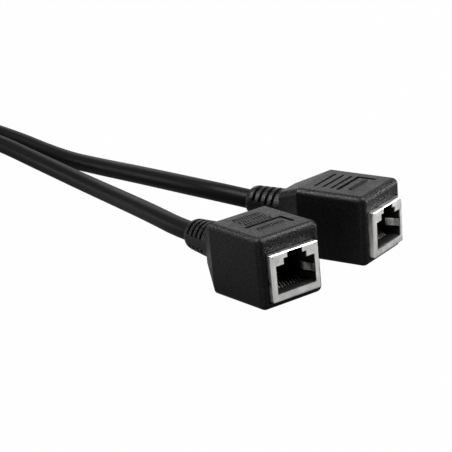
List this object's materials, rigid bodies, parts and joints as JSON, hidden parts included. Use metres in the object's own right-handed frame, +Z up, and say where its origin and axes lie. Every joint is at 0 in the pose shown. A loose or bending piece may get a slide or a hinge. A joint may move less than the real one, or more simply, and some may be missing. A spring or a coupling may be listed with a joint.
{
  "type": "ethernet cable splitter",
  "caption": "Splitter lead: shielded modular sockets in black mouldings, each on a short round cable that runs to a shared modular plug.",
  "frame": {"origin": "middle of the flat underside of socket a, on the floor", "axes": "+Z up, +X out of the port of socket a, +Y towards socket b"},
  "size_m": [0.2561, 0.0585, 0.0206],
  "materials": {
    "moulding": "fine matt texture",
    "shell": "bright nickel plate",
    "insert_plastic": "moulded",
    "inner_plastic": "moulded",
    "contact_plating": "gold plated",
    "jacket": "satin",
    "clear_plastic": "clear polycarbonate",
    "wire_stripe_orange": "insulation",
    "wire_orange": "insulation",
    "wire_stripe_green": "insulation",
    "wire_green": "insulation",
    "wire_stripe_blue": "insulation",
    "wire_blue": "insulation",
    "wire_stripe_brown": "insulation",
    "wire_brown": "insulation"
  },
  "bodies": {
    "root": {"blade_1": "contact_plating", "blade_2": "contact_plating", "blade_3": "contact_plating", "blade_4": "contact_plating", "blade_5": "contact_plating", "blade_6": "contact_plating", "blade_7": "contact_plating", "blade_8": "contact_plating", "contact_a_1": "contact_plating", "contact_a_2": "contact_plating", "contact_a_3": "contact_plating", "contact_a_4": "contact_plating", "contact_a_5": "contact_plating", "contact_a_6": "contact_plating", "contact_a_7": "contact_plating", "contact_a_8": "contact_plating", "contact_b_1": "contact_plating", "contact_b_2": "contact_plating", "contact_b_3": "contact_plating", "contact_b_4": "contact_plating", "contact_b_5": "contact_plating", "contact_b_6": "contact_plating", "contact_b_7": "contact_plating", "contact_b_8": "contact_plating", "housing_a": "moulding", "housing_b": "moulding", "inner_mould_a": "inner_plastic", "inner_mould_b": "inner_plastic", "insert_a": "insert_plastic", "insert_b": "insert_plastic", "lead_a": "jacket", "lead_b": "jacket", "plug_body": "clear_plastic", "plug_boot": "moulding", "plug_wire_1": "wire_stripe_orange", "plug_wire_2": "wire_orange", "plug_wire_3": "wire_stripe_green", "plug_wire_4": "wire_blue", "plug_wire_5": "wire_stripe_blue", "plug_wire_6": "wire_green", "plug_wire_7": "wire_stripe_brown", "plug_wire_8": "wire_brown", "shield_a": "shell", "shield_b": "shell", "wire_a_1": "wire_stripe_orange", "wire_a_2": "wire_orange", "wire_a_3": "wire_stripe_green", "wire_a_6": "wire_green", "wire_b_1": "wire_stripe_orange", "wire_b_2": "wire_orange", "wire_b_3": "wire_stripe_green", "wire_b_6": "wire_green"}
  },
  "joints": []
}
